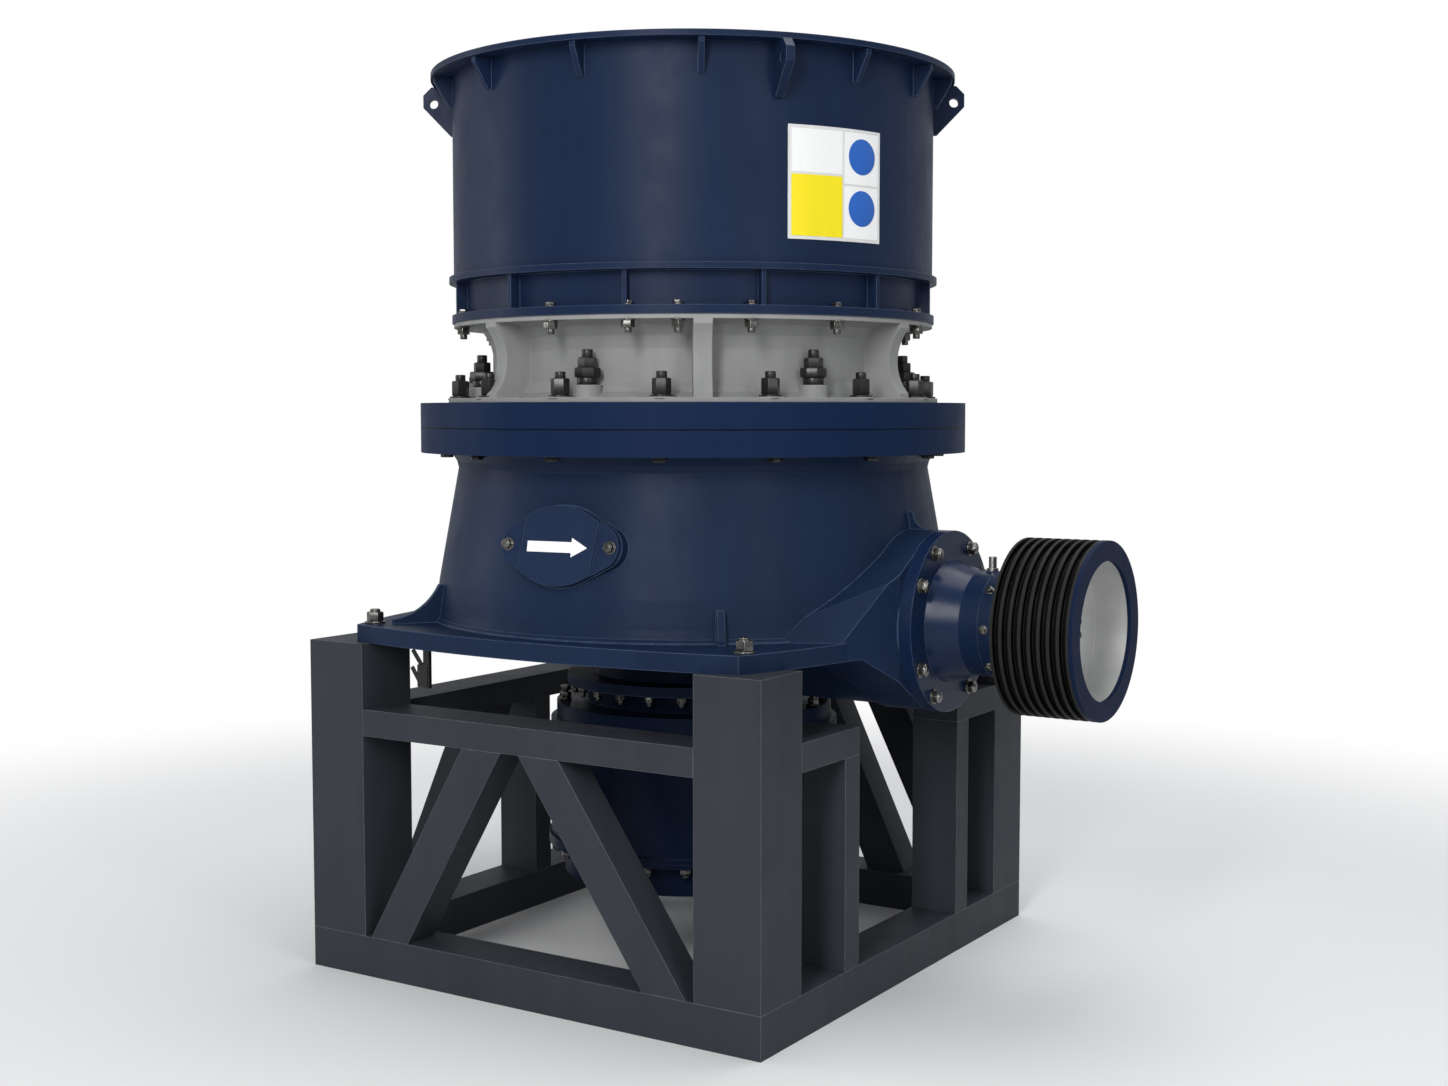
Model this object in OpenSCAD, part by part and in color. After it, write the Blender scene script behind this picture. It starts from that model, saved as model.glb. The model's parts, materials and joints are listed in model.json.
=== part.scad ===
// Hydraulic cone crusher on a welded steel stand.
// Origin: on the crusher's vertical axis, at the level of the stand's feet. +X is the drive shaft, +Z is up.

/* [Stand] */
// How far the stand's posts stand back from the foot flange's sides, along the drive shaft
stand_inset_x = 28; // [10:1:40]
// How far the stand's posts stand back from the foot flange's sides, across the drive shaft
stand_inset_y = 55; // [30:1:70]
// How far the stand's middle lies behind the crusher's axis, along the drive shaft
stand_back = 28; // [0:1:40]
// How far the stand's middle lies to the front of the crusher's axis
stand_front = 19; // [0:1:40]
// Height of the corner posts
post_h = 978; // [920:2:1100]
// Side of the square corner posts
post_s = 205; // [190:1:220]
// Height of the base rails
base_h = 118; // [80:1:160]
// Width of the rails and middle posts, from the outside in
rail_w = 149; // [149:1:170]
// Height of the top rails
rail_h = 78; // [50:1:110]
// Height of the post tops over the top rails
rail_drop = 191; // [185:1:260]
// Width of the middle posts along the rail
mid_post_w = 80; // [60:1:110]
// Distance between the two middle posts on the drive side
mid_post_gap = 704; // [560:2:760]
// Width of the slanted braces, measured level
brace_w = 138; // [100:1:160]
// Thickness of the slanted braces, from the outside in
brace_t = 112; // [80:1:149]
// Gap between a brace's foot and the corner post
brace_gap = 24; // [6:1:50]
// Distance between the tops of a pair of braces
brace_top = 200; // [180:2:240]
// How far the tops of the braces are shifted away from the drive
brace_lean = 32; // [0:1:40]
// How much nearer to the middle the right-hand back brace stands on the base
brace_back_in = 135; // [120:1:150]
// Distance from that brace to the outer back strut, on the base
strut_step_foot = 277; // [268:1:290]
// Distance from that brace to the outer back strut, under the top rail
strut_step_top = 261; // [245:1:268]

/* [Foot flange] */
// Thickness of the flange that stands on the posts
foot_t = 50; // [30:1:70]
// How far the flange's sides reach past the foot of the shell, along the drive shaft
foot_reach_x = 20; // [14:1:30]
// How far the flange's sides reach past the foot of the shell, across the drive shaft
foot_reach_y = 83; // [70:1:100]
// How far the flange's rounded corners reach past the foot of the shell
foot_reach_corner = 248; // [238:1:270]

/* [Bottom shell] */
// Height from the foot flange's underside to the rings
shell_h = 549; // [540:1:640]
// Outer radius under the rings
shell_r_top = 716; // [700:1:724]
// Outer radius where the wall meets the foot flange
shell_r_foot = 787; // [770:1:800]
// Thickness of the cast wall
shell_wall = 54; // [30:1:70]
// Outer radius of the hub in the middle
hub_r = 300; // [270:1:330]
// Width of the arms that carry the hub
arm_w = 130; // [80:1:180]
// Thickness of the four corner webs
web_t = 21; // [16:1:40]
// Direction of the corner webs, from the drive shaft
web_angle = 51.5; // [48:0.5:54]
// How far the web ends reach past the foot of the shell
web_out = 143; // [115:1:148]
// How far the two webs beside the drive reach past the foot of the shell
short_web_out = 40; // [34:1:60]
// Height of the two webs beside the drive, over the foot flange
short_web_h = 90; // [70:1:115]

/* [Inspection cover] */
// Direction of the cover, from the drive shaft
cover_angle = -85; // [-110:1:-70]
// Height of the cover's middle over the foot flange's underside
cover_rise = 303; // [280:1:330]
// Half width of the cover
cover_a = 187; // [175:1:200]
// Half height of the cover
cover_b = 111; // [100:1:120]
// Radius of the cover's long edges
cover_arc_r = 190; // [180:5:220]
// Radius of the cover's ends, round its two bolts
cover_end_r = 61; // [54:1:66]
// Thickness of the cover's flat middle
cover_t = 20; // [14:1:28]
// Width of the cover between its two folds
cover_flat = 235; // [220:1:250]
// Step down from the cover's flat middle to its two ends
cover_step = 8; // [4:1:12]
// Stand-off of the pad under the cover
cover_pad = 8; // [4:1:16]

/* [Rings] */
// How far the two stacked rings stand out past the top of the shell
ring_reach = 112; // [100:1:130]
// Thickness of each ring
ring_t = 73.5; // [60:0.5:90]

/* [Top shell] */
// Height of the top shell
cast_h = 237; // [230:1:280]
// How far the lower flange stands out past the upper one
cast_low_out = 18; // [10:1:34]
// Thickness of the flanges
cast_flange = 13; // [10:1:18]
// Outer radius of the waist
waist_r = 610; // [600:1:618]
// Thickness of the waist's wall
waist_wall = 38; // [26:1:40]
// Direction of the first rib, from the drive shaft
cast_angle = -54.6; // [-60:0.2:-50]
// Angle between the first rib and its two neighbours
rib_spread = 54; // [50:0.5:58]
// Thickness of the curved ribs
cast_rib_t = 52; // [36:1:60]
// Reach of the ribs at the waist
cast_rib_r = 690; // [670:1:700]
// Angle between the first rib and the bosses beside it
boss_spread = 29; // [27:0.5:31]
// Distance of the stud bosses from the axis
boss_at = 645; // [638:1:660]
// Radius of the stud bosses
boss_r = 41; // [34:1:46]
// Height of the stud bosses over the flange
boss_h = 35; // [25:1:50]

/* [Crushing chamber] */
// Lower radius of the mantle's cone
mantle_r = 480; // [440:1:490]
// Upper radius of the mantle's cone
mantle_r_top = 200; // [160:1:240]
// Inner radius of the liner at its top
liner_r_top = 525; // [515:1:535]
// Inner radius of the liner at its bottom
liner_r_low = 540; // [530:1:550]
// Width of the spider's two arms
spider_w = 150; // [110:1:200]
// Radius of the spider's cap
cap_r = 150; // [120:1:165]

/* [Hopper] */
// Height of the hopper
hopper_h = 735; // [640:1:900]
// Outer radius of the upper wall
hopper_r = 725; // [716:1:732]
// Thickness of the hopper's plates
plate_t = 12; // [8:1:16]
// Height of the narrower collar under the middle ring
collar_h = 137; // [110:1:170]
// How far the collar's wall stands in from the upper wall
collar_step = 33; // [25:1:39]
// Thickness of the bottom flange
hopper_flange = 24; // [16:1:32]
// How far the bottom flange stands out past the upper wall
hopper_flange_out = 6; // [3:1:20]
// How far the middle ring stands out past the upper wall
mid_ring_out = 14; // [9:1:35]
// Thickness of the middle ring
mid_ring_t = 18; // [10:1:24]
// Number of upright ribs round the collar
collar_ribs = 12; // [8:1:16]
// How far the top rim stands out past the upper wall
rim_out = 63; // [45:1:75]
// Thickness of the top rim
rim_t = 16; // [10:1:24]
// Drop of the gussets under the rim
gusset_h = 86; // [60:1:110]
// Thickness of the gussets
gusset_t = 16; // [10:1:20]
// Drop of the lifting lugs under the rim
lug_h = 146; // [130:1:180]
// How far the lifting lugs stand out past the upper wall
lug_out = 95; // [81:1:125]
// Thickness of the lifting lugs
lug_t = 25; // [16:1:30]
// Diameter of the holes in the lifting lugs
lug_hole = 28; // [22:1:32]

/* [Label plate] */
// Width of the plate as an angle round the hopper
label_angle = 24.8; // [20:0.2:30]
// Height of the plate
label_h = 305; // [240:1:340]
// Thickness of the plate
label_t = 3; // [2:0.5:5]

/* [Drive] */
// Height of the drive shaft over the foot flange's underside
shaft_rise = 76.5; // [70:0.5:80]
// Radius of the drive shaft
shaft_r = 55; // [45:1:62]
// How far the boss face stands out past the foot of the shell
boss_reach = 52; // [49:1:70]
// Outer radius of the housing's flange
house_flange_r = 258; // [250:1:262]
// Thickness of the housing's flange
house_flange_t = 38; // [24:1:50]
// Radius of the cone at the flange
house_cone_r = 176; // [168:1:190]
// Length of the cone
house_cone_l = 89; // [60:1:100]
// Radius of the housing's neck
house_neck_r = 147; // [135:1:155]
// Length of the neck
house_neck_l = 57; // [50:1:90]
// Thickness of the end cover
end_cover_t = 35; // [20:1:40]
// Gap between the shaft and the end cover's bore
bearing_gap = 0.5; // [0.3:0.1:0.8]
// Gap between the end cover and the shaft's collar
collar_gap = 8; // [6:1:14]

/* [Pulley] */
// Gap between the end cover and the pulley
pulley_gap = 46; // [30:1:70]
// Outer radius of the pulley
pulley_r = 247; // [235:1:252]
// Width of the pulley
pulley_w = 234; // [226:1:280]
// Number of belt grooves
grooves = 8; // [4:1:8]
// Distance between the grooves
groove_pitch = 27; // [24:1:27]
// Depth of the grooves
groove_depth = 15; // [10:1:18]
// Inner radius of the pulley's rim
rim_inner = 203; // [198:1:210]
// Inner radius of the coloured face ring
face_inner = 192; // [186:1:195]
// Thickness of the face ring
face_t = 12; // [8:1:16]
// Depth of the dish inside the pulley
dish_deep = 108; // [80:1:140]
// Wall of the dish inside the pulley
dish_wall = 8; // [6:1:12]
// Thickness of the dish's web
web_plate = 22; // [16:1:30]
// Radius of the pulley's hub
pulley_hub_r = 92; // [82:1:110]

/* [Hydraulic cylinder] */
// Radius of the hub's lower flange
hub_flange_r = 390; // [370:1:400]
// Thickness of the hub's lower flange
hub_flange_t = 30; // [20:1:40]
// Radius of the neck
neck_r = 330; // [300:1:350]
// Height of the neck
neck_h = 55; // [30:1:70]
// Radius of the cylinder's top flange
cyl_flange_r = 424; // [400:1:438]
// Thickness of the cylinder's top flange
cyl_flange_t = 52; // [30:1:60]
// Radius of the cylinder's body
cyl_r = 442; // [428:1:446]
// Height of the cylinder's body
cyl_h = 368; // [300:1:375]
// Radius of the lower flange pair
cyl_low_r = 450; // [448:1:480]
// Thickness of each lower flange
cyl_low_t = 15; // [10:1:25]
// Radius of the bottom cover
cyl_cover_r = 402; // [380:1:420]
// Height of the bottom cover
cyl_cover_h = 105; // [60:1:106]

/* [Hidden] */
$fn = 96;
eps = 1;

// Colours
steel_grey = [0.22, 0.23, 0.26];
navy = [0.13, 0.17, 0.28];
cast_grey = [0.66, 0.66, 0.65];
liner_grey = [0.4, 0.39, 0.38];
black = [0.06, 0.06, 0.07];
silver = [0.75, 0.75, 0.74];

// Foot flange and stand
foot_w = 2 * (shell_r_foot + foot_reach_x);
foot_d = 2 * (shell_r_foot + foot_reach_y);
foot_corner = shell_r_foot + foot_reach_corner;
foot_arc_x = 2180;
foot_arc_y = 2825;
foot_top = post_h + foot_t;
stand_w = foot_w - 2 * stand_inset_x;
stand_d = foot_d - 2 * stand_inset_y;
mid_x = -stand_back;
mid_y = -stand_front;
post_x = stand_w / 2 - post_s / 2;
post_y = stand_d / 2 - post_s / 2;
bay_w = stand_w - 2 * post_s;
bay_d = stand_d - 2 * post_s;
rail_z = post_h - rail_drop - rail_h;
left_rail_z = rail_z - 10;
brace_foot = bay_w / 2 - brace_w / 2 - brace_gap;
brace_back_foot = brace_foot - brace_back_in;
brace_top_left = -brace_lean - brace_top / 2;
brace_top_right = brace_top / 2 - brace_lean;
strut_foot = brace_back_foot + strut_step_foot;
strut_top = brace_top_right + strut_step_top;
side_gap = 103;
side_foot = bay_d / 2 - brace_w / 2 - side_gap;
side_top = 95;
side_post = 80;

// Bottom shell
ring_z = post_h + shell_h;
wall_skirt = 87;
shell_in = shell_r_foot - wall_skirt;
flare_h = 26;
flare_r = 22;
flare_low = 20;
wall_low_h = 116;
wall_low_in = 10;
web_reach = shell_r_foot + web_out;
web_h = 122;
short_web_reach = shell_r_foot + short_web_out;
cover_gap = 0.3;
cover_lean = 8;
web_arc = 173;
web_lip = 12;
web_lead = 20;
boss_face = shell_r_foot + boss_reach;
neck_in = shell_r_top - shell_wall;
shaft_z = post_h + shaft_rise;
boss_r_out = house_flange_r;
wing_r = boss_r_out - 3;
wing_y = 560;
wing_low_y = 377;
wing_edge_y = 431;
wing_face_y = 250;
wing_far_y = 620;
wing_lean_x = 0.652;
wing_lean_y = 1.327;
wing_lap = 6;
wing_inset = 3;
wing_x = shell_in - 130;
tube_r = house_flange_r - 8;
fin_h = 48;
fin_end = boss_face - 36;
hub_drop = 158;
hub_low = post_h - hub_drop;
hub_rise = 260;
hub_top = post_h + hub_rise;
arm_z = post_h + 30;
arm_h = 150;

// Rings and top shell
ring_r = shell_r_top + ring_reach;
cast_z = ring_z + 2 * ring_t;
cast_top = cast_z + cast_h;
collar_r = hopper_r - collar_step;
collar_in = collar_r - plate_t;
hopper_flange_r = hopper_r + hopper_flange_out;
seat_edge = 5;
cast_r_top = hopper_flange_r - seat_edge;
cast_r_low = cast_r_top + cast_low_out;
top_run = cast_r_top - waist_r;
low_run = cast_r_low - waist_r;
cast_in = waist_r - waist_wall;
ledge_in = cast_in - 22;
seat_z = cast_z + 26;
spider_ring = 40;
spider_z = cast_top + spider_ring / 2;
spider_h = 150;
spider_arc = 1600;
spider_crown = 10;
spider_seat = 84;
seat_room = 50;
collar_edge = 5;
cap_rise = 34;
cap_seat = 30;
cap_z = spider_z + spider_h + cap_rise;
cap_h = 86;
spindle_r = 150;
spindle_top_r = 95;
mantle_rise = 20;
mantle_drop = 60;
mantle_lip = 10;
mantle_taper = 40;

// Hopper
mid_ring_r = hopper_r + mid_ring_out;
rim_r = hopper_r + rim_out;
lug_r = hopper_r + lug_out;
mid_ring_z = cast_top + collar_h - mid_ring_t;
wall_z = cast_top + collar_h;
hopper_top = cast_top + hopper_h;
rim_z = hopper_top - rim_t;
lug_angles = [-38.5, 31.5, 141.5, -148.5];
gusset_angles = [-135, -108, -81, -55, -19, 3.5, 22, 75.5, 101, 156, 176];
label_start = -36.2;

// Drive
house_end = boss_face + house_flange_t + house_cone_l + house_neck_l;
cover_end = house_end + end_cover_t;
pulley_x = cover_end + pulley_gap;
pulley_end = pulley_x + pulley_w;
dish_x = pulley_end - dish_deep - web_plate;
hub_x = pulley_x + 26;
hub_l = dish_x + web_plate - hub_x;
shaft_proud = 5;
bore_r = shaft_r + 65;
ridge_half = 4;
groove_slant = 2.5;

// Hydraulic cylinder
neck_z = hub_low - neck_h;
cyl_top = neck_z;
cyl_body_z = cyl_top - cyl_flange_t - cyl_h;

module tube(r_out, r_in, z, h) {
    translate([0, 0, z])
        difference() {
            cylinder(r = r_out, h = h);
            translate([0, 0, -eps]) cylinder(r = r_in, h = h + 2 * eps);
        }
}

// Turns a shape built up along Z so that it lies along the drive shaft
module along_shaft(x) {
    translate([x, 0, shaft_z]) rotate([0, 90, 0]) children();
}

// ---- Stand

module stand_base() {
    color(steel_grey)
        translate([mid_x, mid_y, 0])
            difference() {
                translate([-stand_w / 2, -stand_d / 2, 0]) cube([stand_w, stand_d, base_h]);
                translate([-stand_w / 2 + rail_w, -stand_d / 2 + rail_w, -eps])
                    cube([stand_w - 2 * rail_w, stand_d - 2 * rail_w, base_h + 2 * eps]);
            }
}

module corner_post(side_x, side_y) {
    color(steel_grey)
        translate([mid_x + side_x * post_x - post_s / 2, mid_y + side_y * post_y - post_s / 2, base_h])
            cube([post_s, post_s, post_h - base_h]);
}

module top_rail_x(side_y) {
    color(steel_grey)
        translate([mid_x - bay_w / 2, mid_y + side_y * (stand_d - rail_w) / 2 - rail_w / 2, rail_z])
            cube([bay_w, rail_w, rail_h]);
}

module top_rail_left() {
    color(steel_grey)
        translate([mid_x - stand_w / 2, mid_y - bay_d / 2, left_rail_z])
            cube([rail_w, bay_d, rail_h]);
}

// The rail on the drive side leaves room for the boss between the two middle posts
module top_rail_right(side_y) {
    inner = mid_post_gap / 2 - mid_post_w / 2;
    outer = side_y * mid_y + bay_d / 2;
    color(steel_grey)
        translate([mid_x + stand_w / 2 - rail_w, side_y > 0 ? inner : -outer, rail_z])
            cube([rail_w, outer - inner, rail_h]);
}

// A slanted leg from the foot to the top rail, upright in the XZ plane
module slanted_leg(foot_at, top_at, top_z) {
    rotate([90, 0, 0])
        linear_extrude(height = brace_t)
            polygon([
                [foot_at - brace_w / 2, base_h],
                [foot_at + brace_w / 2, base_h],
                [top_at + brace_w / 2, top_z],
                [top_at - brace_w / 2, top_z]
            ]);
}

module brace(side_y, foot_at, top_at) {
    color(steel_grey)
        translate([mid_x, mid_y + side_y * (stand_d - brace_t) / 2 + brace_t / 2, 0])
            slanted_leg(foot_at, top_at, rail_z);
}

// The outer strut ends on the corner post
module back_strut() {
    color(steel_grey)
        intersection() {
            translate([mid_x, mid_y + stand_d / 2, 0]) slanted_leg(strut_foot, strut_top, rail_z);
            translate([mid_x, mid_y, 0]) cube([bay_w / 2, stand_d / 2, rail_z]);
        }
}

module brace_left() {
    color(steel_grey)
        translate([mid_x - stand_w / 2, 0, 0])
            rotate([0, 0, 90])
                slanted_leg(-side_foot, -side_top, left_rail_z);
}

module mid_post(side_x, shift_y, top_z) {
    color(steel_grey)
        translate([mid_x + side_x * (stand_w - rail_w) / 2 - rail_w / 2, shift_y - mid_post_w / 2, base_h])
            cube([rail_w, mid_post_w, top_z - base_h]);
}

// ---- Bottom shell

module foot_flange() {
    translate([0, 0, post_h])
        intersection() {
            cylinder(r = foot_corner, h = foot_t);
            translate([foot_arc_x - foot_w / 2, 0, 0]) cylinder(r = foot_arc_x, h = foot_t);
            translate([-foot_arc_x + foot_w / 2, 0, 0]) cylinder(r = foot_arc_x, h = foot_t);
            translate([0, foot_arc_y - foot_d / 2, 0]) cylinder(r = foot_arc_y, h = foot_t);
            translate([0, -foot_arc_y + foot_d / 2, 0]) cylinder(r = foot_arc_y, h = foot_t);
        }
}

module shell_outside() {
    rotate_extrude()
        polygon([
            [0, post_h],
            [shell_r_foot + 15, post_h],
            [shell_r_foot + 15, foot_top + 4],
            [shell_r_foot + 5, foot_top + 12],
            [shell_r_foot, foot_top + 36],
            [shell_r_foot - wall_low_in, foot_top + wall_low_h],
            [shell_r_top, ring_z - flare_h - flare_low],
            [shell_r_top + 5, ring_z - flare_h],
            [shell_r_top + flare_r, ring_z],
            [0, ring_z]
        ]);
}

module shell_inside(gap) {
    rotate_extrude()
        polygon([
            [0, hub_low - 100],
            [shell_in - gap, hub_low - 100],
            [shell_in - gap, foot_top + 60],
            [neck_in - gap, ring_z - flare_h - flare_low],
            [neck_in - gap, ring_z + eps],
            [0, ring_z + eps]
        ]);
}

// Distance along the drive shaft to a point just inside the foot flange's edge
function flange_edge(y) = foot_w / 2 - foot_arc_x + sqrt(foot_arc_x * foot_arc_x - y * y) - wing_inset;

// Direction from the shaft to the point where a line through [y, z] touches the circle inside the boss
function touch_angle(y, z, side) = atan2(z - shaft_z, y) + side * acos(wing_r / norm([y, z - shaft_z]));

// Plan of the fairing: from the flange's edge its faces slant out to the boss face
module wing_plan() {
    translate([0, 0, shaft_z - 2 * boss_r_out])
        linear_extrude(height = 4 * boss_r_out)
            polygon([
                [wing_x, -wing_far_y],
                [flange_edge(wing_far_y), -wing_far_y],
                [flange_edge(wing_edge_y), -wing_edge_y],
                [boss_face, -wing_face_y],
                [boss_face, wing_face_y],
                [flange_edge(wing_edge_y), wing_edge_y],
                [flange_edge(wing_far_y), wing_far_y],
                [wing_x, wing_far_y]
            ]);
}

// Cuts away what lies over the fairing's slanted shoulder on one side
module over_wing() {
    across = [wing_lean_x, -wing_lean_y, 1];
    translate([flange_edge(wing_edge_y) + wing_inset, -wing_edge_y, foot_top + eps])
        rotate([0, acos(across[2] / norm(across)), atan2(across[1], across[0])])
            translate([-shell_r_foot, -shell_r_foot, 0]) cube([2 * shell_r_foot, 2 * shell_r_foot, shell_h]);
}

// The fairing between its lines from [y, z] to the boss, on both sides
module wing_profile(y, z, side) {
    touch = touch_angle(y, z, side);
    translate([wing_x - 10, 0, 0])
        rotate([90, 0, 90])
            linear_extrude(height = boss_face - wing_x + 20)
                polygon([
                    [y, z],
                    [wing_r * cos(touch), shaft_z + wing_r * sin(touch)],
                    [-wing_r * cos(touch), shaft_z + wing_r * sin(touch)],
                    [-y, z]
                ]);
}

module boss_wings() {
    intersection() {
        wing_plan();
        union() {
            difference() {
                wing_profile(wing_y, foot_top - wing_lap, 1);
                over_wing();
                mirror([0, 1, 0]) over_wing();
            }
            translate([wing_x, -wing_edge_y, post_h + eps])
                cube([boss_face - wing_x + 10, 2 * wing_edge_y, foot_t - 2 * eps]);
            wing_profile(wing_low_y, post_h + wing_lap, -1);
        }
    }
    along_shaft(wing_x + 30) cylinder(r = boss_r_out, h = boss_face - wing_x - 30);
}

// Upright fin on top of the boss
module boss_fin() {
    low = shaft_z + tube_r - 30;
    top = shaft_z + boss_r_out + fin_h + 2;
    translate([0, plate_t / 2, 0])
        rotate([90, 0, 0])
            linear_extrude(height = plate_t)
                difference() {
                    translate([shell_in + 20, low]) square([fin_end - shell_in - 20, top - low]);
                    translate([fin_end, top]) circle(r = fin_h);
                }
}

// Short upright web beside the drive
module short_web(angle) {
    rotate([0, 0, angle])
        translate([0, web_t / 2, 0])
            rotate([90, 0, 0])
                linear_extrude(height = web_t)
                    polygon([
                        [shell_in + 20, foot_top - 10],
                        [short_web_reach, foot_top - 10],
                        [short_web_reach, foot_top + web_lip],
                        [short_web_reach - 27, foot_top + short_web_h],
                        [shell_in + 20, foot_top + short_web_h]
                    ]);
}

// Web toward a corner of the foot flange, with a hollow edge
module corner_web(angle) {
    rotate([0, 0, angle])
        translate([0, web_t / 2, 0])
            rotate([90, 0, 0])
                linear_extrude(height = web_t)
                    difference() {
                        translate([shell_in + 20, foot_top - 10])
                            square([web_reach - shell_in - 20, web_h]);
                        translate([web_reach + web_lead, foot_top + web_arc + web_lip]) circle(r = web_arc);
                    }
}

module drive_tube(from) {
    along_shaft(from) cylinder(r = tube_r, h = boss_face - from);
}

module drive_bore() {
    along_shaft(hub_r - 40) cylinder(r = bore_r, h = boss_face);
}

module hub_and_arms() {
    color(navy)
        difference() {
            union() {
                translate([0, 0, hub_low]) cylinder(r = hub_r, h = hub_top - hub_low);
                translate([0, 0, hub_low]) cylinder(r = hub_flange_r, h = hub_flange_t);
                intersection() {
                    union() {
                        translate([-shell_r_foot, -arm_w / 2, arm_z]) cube([shell_r_foot, arm_w, arm_h]);
                        translate([-arm_w / 2, -shell_r_foot, arm_z]) cube([arm_w, 2 * shell_r_foot, arm_h]);
                        along_shaft(hub_r - 100) cylinder(r = tube_r - 22, h = boss_face - hub_r + 100);
                        drive_tube(hub_flange_r + 8);
                    }
                    shell_inside(0.3);
                }
            }
            drive_bore();
        }
}

// Outline of the cover: two long arcs and two round ends, joined by straight lines
module cover_outline(a, b) {
    shift = cover_arc_r - b;
    end_at = a - cover_end_r;
    touch = atan2(end_at, shift) - acos((cover_arc_r - cover_end_r) / norm([end_at, shift]));
    arc_x = (cover_arc_r - cover_gap) * sin(touch);
    arc_y = (cover_arc_r - cover_gap) * cos(touch) - shift;
    tip_x = end_at + (cover_end_r - cover_gap) * sin(touch);
    tip_y = (cover_end_r - cover_gap) * cos(touch);
    intersection() {
        translate([0, -shift]) circle(r = cover_arc_r);
        translate([0, shift]) circle(r = cover_arc_r);
        square([2 * arc_x, 2 * b + 2], center = true);
    }
    polygon([
        [tip_x, tip_y],
        [arc_x, arc_y],
        [-arc_x, arc_y],
        [-tip_x, tip_y],
        [-tip_x, -tip_y],
        [-arc_x, -arc_y],
        [arc_x, -arc_y],
        [tip_x, -tip_y]
    ]);
    translate([end_at, 0]) circle(r = cover_end_r);
    translate([-end_at, 0]) circle(r = cover_end_r);
}

// The cover's own frame: X points out of the wall, Z up along it
module on_cover() {
    wall_rise = ring_z - flare_h - flare_low - foot_top - wall_low_h;
    slope = atan2(shell_r_foot - wall_low_in - shell_r_top, wall_rise);
    r_mid = shell_r_top + (ring_z - flare_h - flare_low - post_h - cover_rise) * tan(slope);
    rotate([0, 0, cover_angle])
        translate([r_mid, 0, post_h + cover_rise])
            rotate([0, -slope, 0])
                children();
}

module cover_pad_block() {
    on_cover()
        translate([-70, 0, 0])
            rotate([90, 0, 90])
                linear_extrude(height = 70 + cover_pad) cover_outline(cover_a + 6, cover_b + 4);
}

module bottom_shell() {
    color(navy)
        difference() {
            union() {
                difference() {
                    union() {
                        shell_outside();
                        foot_flange();
                        boss_wings();
                        cover_pad_block();
                        for (a = [180 - web_angle, 180 + web_angle])
                            corner_web(a);
                        for (a = [-web_angle, web_angle])
                            short_web(a);
                    }
                    shell_inside(0);
                }
                boss_fin();
            }
            drive_bore();
        }
}

module inspection_cover() {
    color(navy)
        on_cover()
            difference() {
                translate([cover_pad, 0, 0])
                    rotate([90, 0, 90])
                        linear_extrude(height = cover_t) cover_outline(cover_a, cover_b);
                for (s = [-1, 1])
                    translate([cover_pad + cover_t - cover_step, s * cover_flat / 2, 0])
                        rotate([-cover_lean, 0, 0])
                            translate([0, s > 0 ? 0 : -cover_a, -cover_a])
                                cube([cover_t, cover_a, 2 * cover_a]);
            }
}

module lower_ring() {
    color(navy) tube(ring_r, neck_in, ring_z, ring_t);
}

module upper_ring() {
    color(navy) tube(ring_r, ledge_in, ring_z + ring_t, ring_t);
}

// ---- Top shell

module cast_rib() {
    translate([0, cast_rib_t / 2, 0])
        rotate([90, 0, 0])
            linear_extrude(height = cast_rib_t)
                difference() {
                    translate([cast_in + 10, cast_z + 2])
                        square([cast_r_top - cast_in - 10, cast_h - 4]);
                    translate([cast_rib_r + 138, cast_z + cast_h / 2]) circle(r = 138);
                }
}

module top_shell() {
    color(cast_grey)
        difference() {
            union() {
                rotate_extrude()
                    polygon([
                        [ledge_in, cast_z],
                        [cast_r_low, cast_z],
                        [cast_r_low, cast_z + cast_flange],
                        [waist_r + 0.42 * low_run, cast_z + cast_flange],
                        [waist_r + 0.17 * low_run, cast_z + cast_flange + 16],
                        [waist_r, cast_z + cast_flange + 46],
                        [waist_r, cast_top - cast_flange - 76],
                        [waist_r + 0.08 * top_run, cast_top - cast_flange - 40],
                        [waist_r + 0.26 * top_run, cast_top - cast_flange - 12],
                        [waist_r + 0.52 * top_run, cast_top - cast_flange],
                        [cast_r_top, cast_top - cast_flange],
                        [cast_r_top, cast_top],
                        [ledge_in, cast_top]
                    ]);
                for (a = [0, -rib_spread, rib_spread, 180, 180 - rib_spread, 180 + rib_spread])
                    rotate([0, 0, cast_angle + a]) cast_rib();
                for (a = [boss_spread, -boss_spread, 90, -90, 180 - boss_spread, 180 + boss_spread])
                    rotate([0, 0, cast_angle + a])
                        translate([boss_at, 0, cast_z + 2]) cylinder(r = boss_r, h = cast_flange - 2 + boss_h);
            }
            translate([0, 0, seat_z]) cylinder(r = cast_in, h = cast_h);
        }
}

module chamber_liner() {
    color(liner_grey)
        rotate_extrude()
            polygon([
                [liner_r_low, seat_z],
                [cast_in - 0.5, seat_z],
                [cast_in - 0.5, cast_top],
                [liner_r_top, cast_top]
            ]);
}

module mantle() {
    color(liner_grey)
        rotate_extrude()
            polygon([
                [0, hub_top],
                [spindle_r, hub_top],
                [spindle_r, ring_z - mantle_drop],
                [mantle_r - mantle_drop, ring_z - mantle_drop],
                [mantle_r, ring_z - mantle_lip],
                [mantle_r - mantle_taper, cast_z],
                [mantle_r_top, cast_top + mantle_rise],
                [spindle_top_r, cast_top + 2 * mantle_rise],
                [spindle_top_r, cast_top + spider_seat],
                [0, cast_top + spider_seat]
            ]);
}

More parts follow.
